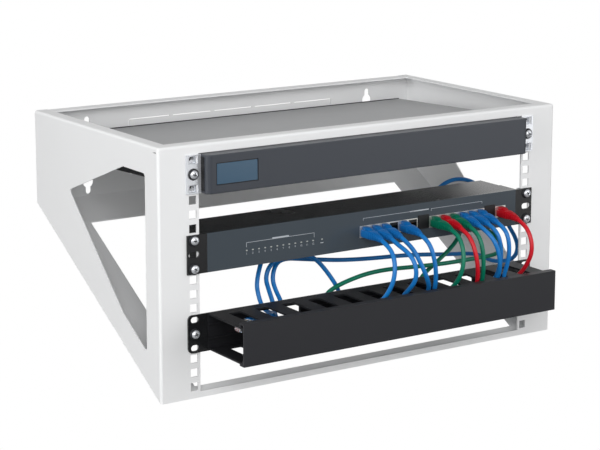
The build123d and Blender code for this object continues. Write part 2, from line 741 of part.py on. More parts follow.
for colour, names in lead_colours.items():
    with BuildPart() as plugs:
        for lead_name in names:
            route = all_routes[lead_name]
            if lead_name in rear_routes:
                add(free_plug(route[0], route[1]))
            else:
                add(hub_plug(route))
            add(free_plug(route[-1], route[-2]))
    finish(plugs.part, f"{colour}_plugs")
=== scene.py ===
import math

import bmesh
import bpy
from mathutils import Matrix, Vector


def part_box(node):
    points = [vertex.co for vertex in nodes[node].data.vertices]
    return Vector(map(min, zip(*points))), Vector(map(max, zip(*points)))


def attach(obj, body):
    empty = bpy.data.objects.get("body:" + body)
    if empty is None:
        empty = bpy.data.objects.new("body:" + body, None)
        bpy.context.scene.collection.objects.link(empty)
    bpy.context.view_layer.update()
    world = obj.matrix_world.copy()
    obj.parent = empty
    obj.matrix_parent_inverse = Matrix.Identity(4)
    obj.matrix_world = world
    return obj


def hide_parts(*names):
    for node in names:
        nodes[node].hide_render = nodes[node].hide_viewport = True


# Open wall rack with a router, a network hub and a cable manager. Lengths are in millimetres until
# a piece is made, when place() and MM turn them into metres in the part's frame.

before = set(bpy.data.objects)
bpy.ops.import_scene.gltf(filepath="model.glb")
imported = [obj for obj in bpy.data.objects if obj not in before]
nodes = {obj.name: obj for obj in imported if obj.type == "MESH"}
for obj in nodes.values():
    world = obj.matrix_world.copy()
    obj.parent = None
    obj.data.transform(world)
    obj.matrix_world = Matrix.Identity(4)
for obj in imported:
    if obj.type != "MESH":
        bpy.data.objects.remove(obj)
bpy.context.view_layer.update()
MM = 0.001

# Faces of the rack that other pieces are placed from
rack_low, rack_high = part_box("front_frame")
front_y = rack_low[1]
top_bar = 10.3
rack_unit = 44.45
floor_z = rack_high[2] - top_bar * MM - 6 * rack_unit * MM
hole_column = 232.55


def place(across, out, height):
    # Across from the middle, out of the rack's front face, height above the opening's lower edge.
    return Vector((across * MM, front_y - out * MM, floor_z + height * MM))


# Shader groups that several materials share
def new_group(name, inputs, outputs):
    group = bpy.data.node_groups.new(name, "ShaderNodeTree")
    for kind, label, value in inputs:
        socket = group.interface.new_socket(name=label, in_out="INPUT", socket_type=kind)
        socket.default_value = value
    for kind, label in outputs:
        group.interface.new_socket(name=label, in_out="OUTPUT", socket_type=kind)
    start = group.nodes.new("NodeGroupInput")
    end = group.nodes.new("NodeGroupOutput")
    return group, start, end


def paint_grain_group():
    # Fine pebbled paint: a bump height and a slightly uneven roughness.
    group, start, end = new_group(
        "paint_grain",
        [("NodeSocketFloat", "Grain Scale", 900.0), ("NodeSocketFloat", "Roughness Low", 0.4),
         ("NodeSocketFloat", "Roughness High", 0.5)],
        [("NodeSocketFloat", "Height"), ("NodeSocketFloat", "Roughness")])
    coords = group.nodes.new("ShaderNodeTexCoord")
    fine = group.nodes.new("ShaderNodeTexNoise")
    fine.inputs["Detail"].default_value = 2.0
    broad = group.nodes.new("ShaderNodeTexNoise")
    broad.inputs["Scale"].default_value = 14.0
    broad.inputs["Detail"].default_value = 4.0
    spread = group.nodes.new("ShaderNodeMapRange")
    link = group.links.new
    link(coords.outputs["Object"], fine.inputs["Vector"])
    link(coords.outputs["Object"], broad.inputs["Vector"])
    link(start.outputs["Grain Scale"], fine.inputs["Scale"])
    link(broad.outputs["Fac"], spread.inputs["Value"])
    link(start.outputs["Roughness Low"], spread.inputs["To Min"])
    link(start.outputs["Roughness High"], spread.inputs["To Max"])
    link(fine.outputs["Fac"], end.inputs["Height"])
    link(spread.outputs["Result"], end.inputs["Roughness"])
    return group


def tone_group():
    # Slow drift between two tones, as on real paint and moulded plastic.
    group, start, end = new_group(
        "tone_drift",
        [("NodeSocketColor", "Tone", (0.5, 0.5, 0.5, 1.0)),
         ("NodeSocketColor", "Other Tone", (0.5, 0.5, 0.5, 1.0)),
         ("NodeSocketFloat", "Drift Scale", 9.0)],
        [("NodeSocketColor", "Color")])
    coords = group.nodes.new("ShaderNodeTexCoord")
    noise = group.nodes.new("ShaderNodeTexNoise")
    noise.inputs["Detail"].default_value = 3.0
    mix = group.nodes.new("ShaderNodeMix")
    mix.data_type = "RGBA"
    link = group.links.new
    link(coords.outputs["Object"], noise.inputs["Vector"])
    link(start.outputs["Drift Scale"], noise.inputs["Scale"])
    link(noise.outputs["Fac"], mix.inputs["Factor"])
    link(start.outputs["Tone"], mix.inputs["A"])
    link(start.outputs["Other Tone"], mix.inputs["B"])
    link(mix.outputs["Result"], end.inputs["Color"])
    return group


paint_grain = paint_grain_group()
tone_drift = tone_group()


def finish_material(name, tone, other_tone, roughness, grain_scale, bump,
                    metallic=0.0, coat=0.0, specular=0.5):
    # A finish that drifts between two tones, with a range of roughness and a fine bump.
    material = bpy.data.materials.new(name)
    material.use_nodes = True
    tree = material.node_tree
    shader = tree.nodes["Principled BSDF"]
    colour = tree.nodes.new("ShaderNodeGroup")
    colour.node_tree = tone_drift
    colour.inputs["Tone"].default_value = (*tone, 1.0)
    colour.inputs["Other Tone"].default_value = (*other_tone, 1.0)
    grain = tree.nodes.new("ShaderNodeGroup")
    grain.node_tree = paint_grain
    grain.inputs["Grain Scale"].default_value = grain_scale
    grain.inputs["Roughness Low"].default_value = roughness[0]
    grain.inputs["Roughness High"].default_value = roughness[1]
    bumps = tree.nodes.new("ShaderNodeBump")
    bumps.inputs["Strength"].default_value = bump
    bumps.inputs["Distance"].default_value = 0.0002
    shader.inputs["Metallic"].default_value = metallic
    shader.inputs["Coat Weight"].default_value = coat
    shader.inputs["Coat Roughness"].default_value = 0.15
    shader.inputs["Specular IOR Level"].default_value = specular
    link = tree.links.new
    link(colour.outputs["Color"], shader.inputs["Base Color"])
    link(grain.outputs["Roughness"], shader.inputs["Roughness"])
    link(grain.outputs["Height"], bumps.inputs["Height"])
    link(bumps.outputs["Normal"], shader.inputs["Normal"])
    return material


powder_coat = finish_material(
    "powder_coat", (0.79, 0.795, 0.80), (0.75, 0.755, 0.76),
    (0.42, 0.52), 1500, 0.25)
black_steel = finish_material(
    "black_steel", (0.0075, 0.008, 0.009), (0.011, 0.0115, 0.0125),
    (0.22, 0.30), 1200, 0.12, specular=0.5)
grey_steel = finish_material(
    "grey_steel", (0.27, 0.275, 0.285), (0.30, 0.305, 0.31),
    (0.34, 0.44), 1100, 0.2, specular=0.3)
face_plastic = finish_material(
    "face_plastic", (0.048, 0.061, 0.074), (0.051, 0.064, 0.077),
    (0.15, 0.19), 1700, 0.06, specular=0.4)
bezel_plastic = finish_material(
    "bezel_plastic", (0.036, 0.041, 0.052), (0.041, 0.047, 0.058),
    (0.34, 0.44), 1700, 0.15, specular=0.4)
duct_plastic = finish_material(
    "duct_plastic", (0.016, 0.0165, 0.020), (0.021, 0.0215, 0.025),
    (0.40, 0.50), 1300, 0.3, specular=0.32)
# A darker copy of duct_plastic on the duct's trough: painted shade for the dark inside of the duct
duct_inside = finish_material(
    "duct_inside", (0.0085, 0.0088, 0.0105), (0.0115, 0.0118, 0.0135),
    (0.42, 0.52), 1300, 0.3, specular=0.22)
badge_plate = finish_material(
    "badge_plate", (0.018, 0.062, 0.112), (0.028, 0.080, 0.138),
    (0.22, 0.30), 900, 0.1, coat=0.4)
zinc = finish_material(
    "zinc", (0.80, 0.82, 0.85), (0.68, 0.70, 0.74),
    (0.24, 0.38), 1800, 0.2, metallic=0.65)
port_metal = finish_material(
    "port_metal", (0.72, 0.71, 0.68), (0.60, 0.59, 0.57),
    (0.28, 0.42), 1500, 0.15, metallic=0.8)
port_black = finish_material(
    "port_black", (0.005, 0.005, 0.006), (0.008, 0.008, 0.009),
    (0.4, 0.5), 1500, 0.2, specular=0.35)
gold = finish_material(
    "gold", (0.83, 0.62, 0.25), (0.75, 0.55, 0.22),
    (0.2, 0.3), 1500, 0.05, metallic=1.0)
blue_jacket = finish_material(
    "blue_jacket", (0.006, 0.150, 0.45), (0.010, 0.185, 0.53),
    (0.30, 0.40), 1200, 0.15, specular=0.35)
green_jacket = finish_material(
    "green_jacket", (0.0, 0.15, 0.085), (0.001, 0.18, 0.105),
    (0.30, 0.40), 1200, 0.15, specular=0.35)
red_jacket = finish_material(
    "red_jacket", (0.50, 0.005, 0.015), (0.58, 0.010, 0.022),
    (0.30, 0.40), 1200, 0.15, specular=0.35)
# Boots: darker copies of the three jacket colours, as painted shade on the boots
blue_boot = finish_material(
    "blue_boot", (0.004, 0.115, 0.36), (0.007, 0.140, 0.42),
    (0.26, 0.36), 1200, 0.15, specular=0.3)
green_boot = finish_material(
    "green_boot", (0.0, 0.120, 0.066), (0.001, 0.145, 0.082),
    (0.26, 0.36), 1200, 0.15, specular=0.3)
red_boot = finish_material(
    "red_boot", (0.40, 0.003, 0.010), (0.46, 0.006, 0.014),
    (0.26, 0.36), 1200, 0.15, specular=0.3)
print_ink = finish_material(
    "print_ink", (0.46, 0.49, 0.53), (0.40, 0.43, 0.47),
    (0.5, 0.6), 900, 0.05)
lamp_lens = finish_material(
    "lamp_lens", (0.46, 0.48, 0.46), (0.38, 0.41, 0.40),
    (0.2, 0.3), 900, 0.05)


def clear_plastic():
    material = bpy.data.materials.new("clear_plastic")
    material.use_nodes = True
    tree = material.node_tree
    shader = tree.nodes["Principled BSDF"]
    shader.inputs["Base Color"].default_value = (0.86, 0.89, 0.92, 1.0)
    shader.inputs["Transmission Weight"].default_value = 0.85
    shader.inputs["IOR"].default_value = 1.49
    grain = tree.nodes.new("ShaderNodeGroup")
    grain.node_tree = paint_grain
    grain.inputs["Grain Scale"].default_value = 600.0
    grain.inputs["Roughness Low"].default_value = 0.06
    grain.inputs["Roughness High"].default_value = 0.14
    tree.links.new(grain.outputs["Roughness"], shader.inputs["Roughness"])
    return material


clear = clear_plastic()

node_materials = {
    "front_frame": powder_coat, "left_side_panel": powder_coat, "right_side_panel": powder_coat,
    "back_panel": powder_coat,
    "router_case": black_steel, "router_cover": grey_steel, "router_bezel": bezel_plastic,
    "router_badge": badge_plate, "router_left_ear": zinc, "router_right_ear": zinc,
    "hub_case": black_steel, "hub_face": face_plastic, "hub_left_ports": port_metal,
    "hub_right_ports": port_metal, "hub_uplink_port": port_metal, "hub_port_fillers": port_black,
    "hub_left_ear": black_steel, "hub_right_ear": black_steel,
    "manager_plate": black_steel, "manager_duct": duct_inside, "manager_cover": duct_plastic,
    "cage_nuts": zinc, "cup_washers": duct_plastic, "screws": zinc,
}
for node_name, material in node_materials.items():
    mesh = nodes[node_name].data
    mesh.materials.clear()
    mesh.materials.append(material)


def keep(piece, slot_name, *replaced):
    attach(piece, "root")
    if replaced:
        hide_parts(*replaced)
    return piece


# Patch leads: the same route points as the solids, (across, out of the front face, height)
lead_size = 5.2
lead_routes = {
    "lead_1": [(-6.9, 37, 149), (-7.1, 49.4, 145), (-8, 60, 137.5), (-10, 66.5, 126), (-12, 67.5, 112),
               (-14, 62.5, 98.5), (-16, 53.5, 86.5), (-21, 44, 76), (-34, 39, 69), (-54, 38.5, 66.5),
               (-84, 38, 66), (-112, 38, 66)],
    "lead_2": [(6.8, 37, 149), (6.8, 51.3, 144.4), (7.2, 65, 140.5), (8.3, 76.5, 133), (9.3, 81, 121),
               (10.5, 77, 108), (12, 65.5, 97.5), (13.5, 52, 86.5), (11, 43, 74.5), (0, 33.5, 64),
               (-14, 28, 58.5), (-31, 25.5, 56.5), (-50, 25, 56.5)],
    "lead_3": [(20.5, 37, 149), (20.5, 49.4, 145), (22.5, 59.5, 137), (26.5, 65, 125),
               (32.5, 66.5, 112), (40, 62.5, 99.5), (47.5, 54, 88), (46.5, 45, 77), (36, 36, 71),
               (18, 28, 69), (0, 25, 69)],
    "lead_4": [(47.9, 37, 149), (47.9, 47.5, 145.6), (49, 55.5, 137), (50.8, 58.5, 125.5),
               (52.8, 59.5, 112), (54.8, 57, 98), (56.3, 52, 84), (60, 46, 71), (70, 41, 62),
               (84, 38.5, 57.5), (98, 38, 57.5)],
    "lead_5": [(92.6, 37, 149), (92.6, 48.5, 145.3), (91.7, 57.5, 136.5), (90.5, 62.5, 125),
               (89, 63.8, 112), (87.2, 60, 98.5), (84.8, 51, 85.5), (79, 41, 75.5), (68, 28, 66),
               (50, 18, 58.5), (28, 13.5, 56), (4, 13, 56)],
    "lead_6": [(106.3, 37, 149), (106.3, 48.5, 145.3), (106.9, 57.5, 136.5), (107.8, 62.8, 125),
               (109.8, 64, 112), (113.8, 60, 98), (117.5, 53.5, 84.5), (113, 51, 70), (98, 51, 61),
               (76, 52, 57), (40, 52.5, 56), (-15, 52, 55.5), (-65, 52, 55), (-110, 52.5, 55.5),
               (-136, 52.5, 57), (-154, 52, 62), (-169, 52, 67.5)],
    "lead_7": [(120, 37, 149), (120, 47.8, 145.5), (120.4, 55.8, 137), (121, 59.5, 125.5),
               (121.8, 60.2, 112), (123.3, 57.8, 98), (125, 53, 84.5), (130.5, 52, 70.5),
               (143, 51, 60), (156, 51, 58), (170, 51.3, 58)],
    "lead_8": [(133.7, 37, 149), (133.7, 49.4, 145), (137, 58.5, 137), (140.8, 62.5, 125.5),
               (144.5, 62, 112.5), (148, 58.3, 99), (150.8, 50.5, 86), (148, 40, 75.5),
               (141, 30.5, 66.5), (131, 26, 60.5), (117, 25, 59.8)],
    "lead_9": [(147.4, 37, 149), (147.4, 47.1, 145.7), (149, 54, 137.5), (151, 55, 126.5),
               (153.3, 53.5, 113), (155, 49, 99.5), (155.5, 43, 86.5), (153, 35, 78), (144, 28, 73.5),
               (130, 27, 72.5)],
    "lead_10": [(161.1, 37, 149), (161.1, 47.5, 145.6), (161.8, 54.5, 137.5), (162.3, 57, 126),
                (162.2, 57, 112.5), (161.6, 53.5, 99), (160, 50, 86), (159, 53, 73), (152, 59, 63.5),
                (138, 63.5, 58.5), (114, 64, 57), (78, 64, 56.5), (30, 64, 56), (-20, 64, 56)],
    "lead_11": [(192.3, 37, 149), (192.3, 48.5, 145.3), (192.4, 57.5, 136.5), (192.6, 62.3, 125),
                (192.3, 61.8, 112), (191.4, 55.5, 99.5), (190, 46.5, 87), (185, 35, 76.5),
                (174, 24, 70), (156, 16, 68), (132, 13.5, 67.5), (100, 13, 67.5), (68, 13, 67.5)],
}
# Rear leads, behind the hub
rear_routes = {
    "lead_12": [(-152, 20, 77), (-138.5, 15.5, 76.5), (-131, 3, 75), (-130, -11, 73), (-130, -24, 77),
                (-130, -32, 89), (-131, -34, 103), (-119, -43, 124), (-103, -60, 128), (-82, -76, 131),
                (-45, -84, 134), (25, -86, 134), (95, -86, 134), (133, -86, 142), (148, -86, 155),
                (164, -86, 169), (184, -86, 178.3), (206, -86, 177.5), (225, -84, 169),
                (241, -76, 152), (247, -60, 135), (249, -50, 119), (256, -45, 105), (262, -46, 90),
                (264, -55, 75), (259, -69, 68), (244, -77, 69), (229, -75, 78), (207, -71, 85),
                (172, -70, 88.5), (111, -70, 96), (52, -70, 99), (9, -69, 103), (-26, -66, 109),
                (-56, -58, 115.5), (-80, -50, 121), (-97, -42, 121), (-105.5, -37, 114.5),
                (-109.5, -34, 104), (-107.5, -32, 93), (-101.5, -29.5, 79), (-99.5, -23, 64),
                (-100.5, -11, 56.2), (-101, 2, 56)],
    "lead_13": [(-114.5, 2, 56), (-114.3, -11, 56.2), (-113, -23, 64), (-111.5, -29.5, 77),
                (-115, -33, 92), (-119, -34, 106), (-113, -35, 120), (-98, -37, 126), (-75, -39, 124),
                (-52, -44, 122), (-39, -46, 113), (-30, -42, 101), (-20, -38, 85), (-14, -37, 72),
                (-13, -37, 60)],
    "lead_14": [(-42, -31, 58), (-42, -31, 68), (-36, -31, 78), (-22, -30.5, 84.5), (-3, -30, 89.5),
                (20, -30, 93.5), (50, -30, 94.5), (90, -30, 92), (135, -30, 90), (180, -31, 90),
                (212, -33, 89.5), (230, -40, 92), (239, -52, 99), (236, -67, 109), (222, -79, 118),
                (205, -81, 121), (190, -71, 118), (177, -58, 112), (157, -48, 102), (130, -41, 90),
                (109, -38, 79), (99, -37, 68), (97, -37, 57)],
}
all_routes = {**lead_routes, **rear_routes}
lead_colours = {
    "blue": (("lead_1", "lead_2", "lead_3", "lead_4", "lead_8", "lead_9", "lead_10",
              "lead_12", "lead_13"), blue_jacket, blue_boot),
    "green": (("lead_5", "lead_7", "lead_14"), green_jacket, green_boot),
    "red": (("lead_6", "lead_11"), red_jacket, red_boot),
}
port_face = 2.5
port_axis = 152.0
plug_width, plug_height, plug_nose = 11.4, 8.0, 11.0
free_boot, free_nose = 30.0, 12.0
boot_ribs, boot_groove = 6, 2.4
boot_tip = 5.1


def lead_curve(name, route, material):
    curve = bpy.data.curves.new(name, "CURVE")
    curve.dimensions = "3D"
    curve.resolution_u = 10
    curve.bevel_depth = lead_size / 2 * MM
    curve.bevel_resolution = 5
    spline = curve.splines.new("NURBS")
    spline.points.add(len(route) - 1)
    for point, where in zip(spline.points, route):
        point.co = (*place(*where), 1.0)
    spline.order_u = 3
    spline.use_endpoint_u = True
    curve.materials.append(material)
    piece = bpy.data.objects.new(name, curve)
    bpy.context.collection.objects.link(piece)
    return piece


def route_length(piece):
    # Length of the smooth line itself, read from the curve without its thickness.
    flat = piece.data.copy()
    flat.bevel_depth = 0.0
    probe = bpy.data.objects.new("probe", flat)
    bpy.context.collection.objects.link(probe)
    line = bpy.data.meshes.new_from_object(probe.evaluated_get(bpy.context.evaluated_depsgraph_get()))
    points = [vertex.co for vertex in line.vertices]
    length = sum((b - a).length for a, b in zip(points, points[1:]))
    bpy.data.objects.remove(probe)
    bpy.data.meshes.remove(line)
    bpy.data.curves.remove(flat)
    return length


def rounded_ring(width, height, roundness, steps=20):
    # One cross section: a rounded rectangle, or a circle at roundness 1.
    ring = []
    power = 2.0 + (1.0 - roundness) * 5.0
    for step in range(steps):
        angle = 2 * math.pi * step / steps
        c, s = math.cos(angle), math.sin(angle)
        x = math.copysign(abs(c) ** (2 / power), c) * width / 2
        y = math.copysign(abs(s) ** (2 / power), s) * height / 2
        ring.append((x, y))
    return ring


def mesh_piece(name, bm, *materials):
    mesh = bpy.data.meshes.new(name)
    bmesh.ops.recalc_face_normals(bm, faces=bm.faces)
    bm.to_mesh(mesh)
    bm.free()
    for material in materials:
        mesh.materials.append(material)
    piece = bpy.data.objects.new(name, mesh)
    bpy.context.collection.objects.link(piece)
    return piece


def heading_frame(at, heading):
    # Turns +Z to the heading, keeps the first direction level, and moves to the place.
    heading = heading.normalized()
    steep = abs(heading.z) > math.sin(math.pi / 4)
    side = Vector((1, 0, 0)) if steep else heading.cross(Vector((0, 0, 1))).normalized()
    side = (side - heading * side.dot(heading)).normalized()
    turn = Matrix((side, heading.cross(side), heading)).transposed().to_4x4()
    turn.translation = at
    return turn


def boot_stations():
    # Share, width, height and roundness along a boot from its port end (0) to its lead end (1): a
    # square shoulder, then ribs on a taper.
    stations = [(0.0, 11.4, 8.6, 0.25)]
    stations += [(share, 12.3, 9.5, 0.25 + 0.3 * share) for share in (0.06, 0.15, 0.24, 0.33, 0.41)]
    taper_start, taper_stop = 0.42, 0.95
    narrowest = lead_size + 0.1
    for rib in range(boot_ribs):
        for part, groove in ((0.0, boot_groove), (0.42, boot_groove), (0.48, 0.0), (0.94, 0.0)):
            along = (rib + part) / boot_ribs
            share = taper_start + along * (taper_stop - taper_start)
            width = max(12.2 - 5.6 * along - groove, narrowest)
            height = max(9.8 - 3.2 * along - groove, narrowest)
            stations.append((share, width, height, 0.4 + 0.6 * along))
    return stations + [(share, boot_tip, boot_tip, 1.0) for share in (taper_stop, 1.0)]


def boot_body(bm, port_end, port_heading, lead_end, lead_heading):
    # A boot along a smooth bend from the port's heading to the lead's heading.
    reach = (lead_end - port_end).length / 3
    first = port_end + port_heading.normalized() * reach
    second = lead_end - lead_heading.normalized() * reach
    rings = []
    for t, width, height, roundness in boot_stations():
        u = 1 - t
        at = u ** 3 * port_end + 3 * u ** 2 * t * first + 3 * u * t ** 2 * second + t ** 3 * lead_end
        way = u ** 2 * (first - port_end) + 2 * u * t * (second - first) + t ** 2 * (lead_end - second)
        turn = heading_frame(at, way)
        rings.append([bm.verts.new(turn @ Vector((x, y, 0)))
                      for x, y in rounded_ring(width * MM, height * MM, roundness)])
    skin(bm, rings)


def skin(bm, rings):
    # Faces between neighbouring rings, with both ends closed.
    count = len(rings[0])
    for low, high in zip(rings, rings[1:]):
        for i in range(count):
            j = (i + 1) % count
            bm.faces.new((low[i], low[j], high[j], high[i]))
    bm.faces.new(list(reversed(rings[0])))
    bm.faces.new(rings[-1])


def box_body(bm, turn, low, high):
    # A box between two corners given in millimetres in the turned frame.
    corners = [bm.verts.new(turn @ Vector((x * MM, y * MM, z * MM)))
               for z in (low[2], high[2]) for y in (low[1], high[1]) for x in (low[0], high[0])]
    for loop in ((0, 2, 3, 1), (4, 5, 7, 6), (0, 1, 5, 4), (2, 6, 7, 3), (0, 4, 6, 2), (1, 3, 7, 5)):
        bm.faces.new([corners[i] for i in loop])


def nose_body(bm, turn, length):
    # A clear nose along the frame's +Z, a little smaller at its tip.
    sections = [(0.0, plug_width, plug_height), (length - 0.6, plug_width, plug_height),
                (length, plug_width - 1.0, plug_height - 1.0)]
    rings = [[bm.verts.new(turn @ Vector((x, y, along * MM)))
              for x, y in rounded_ring(width * MM, height * MM, 0.02)]
             for along, width, height in sections]
    skin(bm, rings)


def nose_contacts(bm, turn, length):
    # Eight gold blades that stand just under the clear nose's face.
    for blade in range(8):
        across = (blade - 3.5) * 1.02
        box_body(bm, turn, (across - 0.2, -plug_height / 2 - 0.03, length - 6.5),
                 (across + 0.2, -plug_height / 2 + 0.5, length - 1.5))


def free_plug(boots, noses, blades, end, before):
    # Boot and nose that carry on straight from the end of a lead.
    heading = (end - before).normalized()
    junction = end + heading * free_boot * MM
    boot_body(boots, junction, -heading, end, -heading)
    turn = heading_frame(junction, heading)
    nose_body(noses, turn, free_nose)
    nose_contacts(blades, turn, free_nose)


def latch_hood(bm, turn):
    # A hood over the latch, on top of a boot's square shoulder: distance out, width, top.
    low = 3.5
    rings = []
    for out, width, top in ((0.3, 6.8, 7.5), (1.0, 7.8, 8.1), (8.0, 7.4, 7.3), (13.5, 5.8, 4.3)):
        rings.append([bm.verts.new(turn @ Vector((x, y - (low + top) / 2 * MM, out * MM)))
                      for x, y in rounded_ring(width * MM, (top - low) * MM, 0.35, 12)])
    skin(bm, rings)


def hub_plug(boots, noses, route):
    # Boot that droops from the port to the lead, nose inside the port.
    port_place = place(route[0][0], port_face, port_axis)
    out = Vector((0, -1, 0))
    tip, after = place(*route[0]), place(*route[1])
    boot_body(boots, port_place, out, tip, after - tip)
    latch_hood(boots, heading_frame(port_place, out))
    nose_body(noses, heading_frame(port_place, -out), plug_nose)


def plug_pieces(lead_name, route, boot_material):
    boots, noses, blades = bmesh.new(), bmesh.new(), bmesh.new()
    if lead_name in rear_routes:
        free_plug(boots, noses, blades, place(*route[0]), place(*route[1]))
    else:
        hub_plug(boots, noses, route)
    free_plug(boots, noses, blades, place(*route[-1]), place(*route[-2]))
    boot_piece = smooth(mesh_piece(f"{lead_name}_boots", boots, boot_material), 50)
    nose_piece = mesh_piece(f"{lead_name}_noses", noses, clear)
    blade_piece = mesh_piece(f"{lead_name}_blades", blades, gold)
    return boot_piece, nose_piece, blade_piece


def smooth(piece, angle):
    # Smooth shading, with edges sharper than the angle kept crisp.
    mesh = piece.data
    mesh.polygons.foreach_set("use_smooth", [True] * len(mesh.polygons))
    mesh.set_sharp_from_angle(angle=math.radians(angle))
    return piece


for colour, (names, jacket, boot_material) in lead_colours.items():
    for lead_name in names:
        route = all_routes[lead_name]
        piece = keep(lead_curve(f"{lead_name}_cable", route, jacket), f"{colour}_cable", lead_name)
        plugs = plug_pieces(lead_name, route, boot_material)
        for plug in plugs:
            keep(plug, f"{colour}_cable", f"{colour}_plugs")
        round(route_length(piece), 4)


# Repeated small pieces, grown by node trees
def node_tree(name, inputs):
    tree = bpy.data.node_groups.new(name, "GeometryNodeTree")
    tree.interface.new_socket(name="Geometry", in_out="OUTPUT", socket_type="NodeSocketGeometry")
    for label, kind in inputs:
        tree.interface.new_socket(name=label, in_out="INPUT", socket_type=kind)
    return tree, tree.nodes.new("NodeGroupInput"), tree.nodes.new("NodeGroupOutput")


def end_tree(tree, start, end, instances):
    real = tree.nodes.new("GeometryNodeRealizeInstances")
    paint = tree.nodes.new("GeometryNodeSetMaterial")
    tree.links.new(instances, real.inputs["Geometry"])
    tree.links.new(real.outputs["Geometry"], paint.inputs["Geometry"])
    tree.links.new(start.outputs["Material"], paint.inputs["Material"])
    tree.links.new(paint.outputs["Geometry"], end.inputs["Geometry"])


def row_tree():
    # A row of equal blocks from a first place.
    tree, start, end = node_tree("row_of_blocks", [
        ("Count", "NodeSocketInt"), ("First", "NodeSocketVector"), ("Step", "NodeSocketVector"),
        ("Block Size", "NodeSocketVector"), ("Material", "NodeSocketMaterial")])
    line = tree.nodes.new("GeometryNodeMeshLine")
    block = tree.nodes.new("GeometryNodeMeshCube")
    spread = tree.nodes.new("GeometryNodeInstanceOnPoints")
    link = tree.links.new
    link(start.outputs["Count"], line.inputs["Count"])
    link(start.outputs["First"], line.inputs["Start Location"])
    link(start.outputs["Step"], line.inputs["Offset"])
    link(start.outputs["Block Size"], block.inputs["Size"])
    link(line.outputs["Mesh"], spread.inputs["Points"])
    link(block.outputs["Mesh"], spread.inputs["Instance"])
    end_tree(tree, start, end, spread.outputs["Instances"])
    return tree


def places_tree():
    # One piece set on every place, facing forwards, each turned by its own amount.
    tree, start, end = node_tree("piece_on_places", [
        ("Places", "NodeSocketGeometry"), ("Piece", "NodeSocketObject"), ("Most Turn", "NodeSocketFloat"),
        ("Seed", "NodeSocketInt"), ("Material", "NodeSocketMaterial")])
    piece = tree.nodes.new("GeometryNodeObjectInfo")
    spin = tree.nodes.new("FunctionNodeRandomValue")
    turn = tree.nodes.new("ShaderNodeCombineXYZ")
    turn.inputs["X"].default_value = math.pi / 2
    spread = tree.nodes.new("GeometryNodeInstanceOnPoints")
    link = tree.links.new
    link(start.outputs["Piece"], piece.inputs["Object"])
    link(start.outputs["Most Turn"], spin.inputs[3])
    link(start.outputs["Seed"], spin.inputs["Seed"])
    link(spin.outputs[1], turn.inputs["Y"])
    link(start.outputs["Places"], spread.inputs["Points"])
    link(piece.outputs["Geometry"], spread.inputs["Instance"])
    link(turn.outputs["Vector"], spread.inputs["Rotation"])
    end_tree(tree, start, end, spread.outputs["Instances"])
    return tree


def plain_mesh(host, name):
    # The evaluated host as a plain mesh in a piece of its own.
    graph = bpy.context.evaluated_depsgraph_get()
    mesh = bpy.data.meshes.new_from_object(host.evaluated_get(graph))
    mesh.name = name
    bpy.data.objects.remove(host)
    piece = bpy.data.objects.new(name, mesh)
    bpy.context.collection.objects.link(piece)
    return piece


def grow(name, tree, points=(), **values):
    # A piece grown by a tree from points, with the tree's named inputs set.
    host_mesh = bpy.data.meshes.new(name)
    host_mesh.from_pydata([tuple(point) for point in points], [], [])
    host = bpy.data.objects.new(name, host_mesh)
    bpy.context.collection.objects.link(host)
    grower = host.modifiers.new("grow", "NODES")
    grower.node_group = tree
    wanted = {key.replace("_", " ").title(): value for key, value in values.items()}
    for socket in tree.interface.items_tree:
        if socket.in_out == "INPUT" and socket.name in wanted:
            grower[socket.identifier] = wanted[socket.name]
    return plain_mesh(host, name)


block_row = row_tree()
set_on_places = places_tree()


def row(name, count, first, step, size, material):
    return grow(name, block_row, count=count, first=tuple(place(*first)), step=tuple(Vector(step) * MM),
                block_size=tuple(Vector(size) * MM), material=material)


def join(name, pieces):
    # Several loose pieces as one mesh.
    bm = bmesh.new()
    materials = []
    for piece in pieces:
        offset = len(materials)
        materials.extend(piece.data.materials)
        first_face = len(bm.faces)
        bm.from_mesh(piece.data)
        bm.faces.ensure_lookup_table()
        for face in bm.faces[first_face:]:
            face.material_index += offset
        bpy.data.objects.remove(piece)
    return mesh_piece(name, bm, *materials)


# Screws, cup washers and cage nuts: modelled once with +Z forwards, then set on their places
def turned_rings(bm, profile, steps):
    turns = [2 * math.pi * i / steps for i in range(steps)]
    return [[bm.verts.new((radius * MM * math.cos(a), radius * MM * math.sin(a), z * MM)) for a in turns]
            for radius, z in profile]


def cut(body, cutter):
    # The body less the cutter.
    knife = body.modifiers.new("cut", "BOOLEAN")
    knife.operation = "DIFFERENCE"
    knife.solver = "EXACT"
    knife.use_self = True
    knife.object = cutter
    name = body.name
    piece = plain_mesh(body, name)
    bpy.data.objects.remove(cutter)
    return piece


def screw_pattern():
    # A domed head with a narrowing cross recess, on a plain shank.
    head_radius, dome_low, dome_tall = 4.8, 1.2, 2.4
    shank_radius, shank_length = 2.9, 14.0
    cross_long, cross_wide, cross_narrowing = 6.0, 1.3, 0.55
    bm = bmesh.new()
    dome = [(head_radius * math.cos(a), dome_low + dome_tall * math.sin(a))
            for a in (0.0, 0.3, 0.6, 0.9, 1.15, 1.35, 1.5)]
    shank = [(shank_radius, -shank_length), (shank_radius, 0.0)]
    skin(bm, turned_rings(bm, shank + [(head_radius - 0.3, 0.0), (head_radius, 0.3)] + dome, 32))
    body = mesh_piece("screw_pattern", bm, zinc)
    bm = bmesh.new()
    corners = ((-1, -1), (1, -1), (1, 1), (-1, 1))
    for wide, deep in ((cross_wide, cross_long), (cross_long, cross_wide)):
        rings = [[bm.verts.new((sx * wide / 2 * part * MM, sy * deep / 2 * part * MM, z * MM))
                  for sx, sy in corners]
                 for part, z in ((cross_narrowing, 1.7), (1.0, 3.2), (1.0, 4.2))]
        skin(bm, rings)
    return smooth(cut(body, mesh_piece("cross", bm, zinc)), 40)


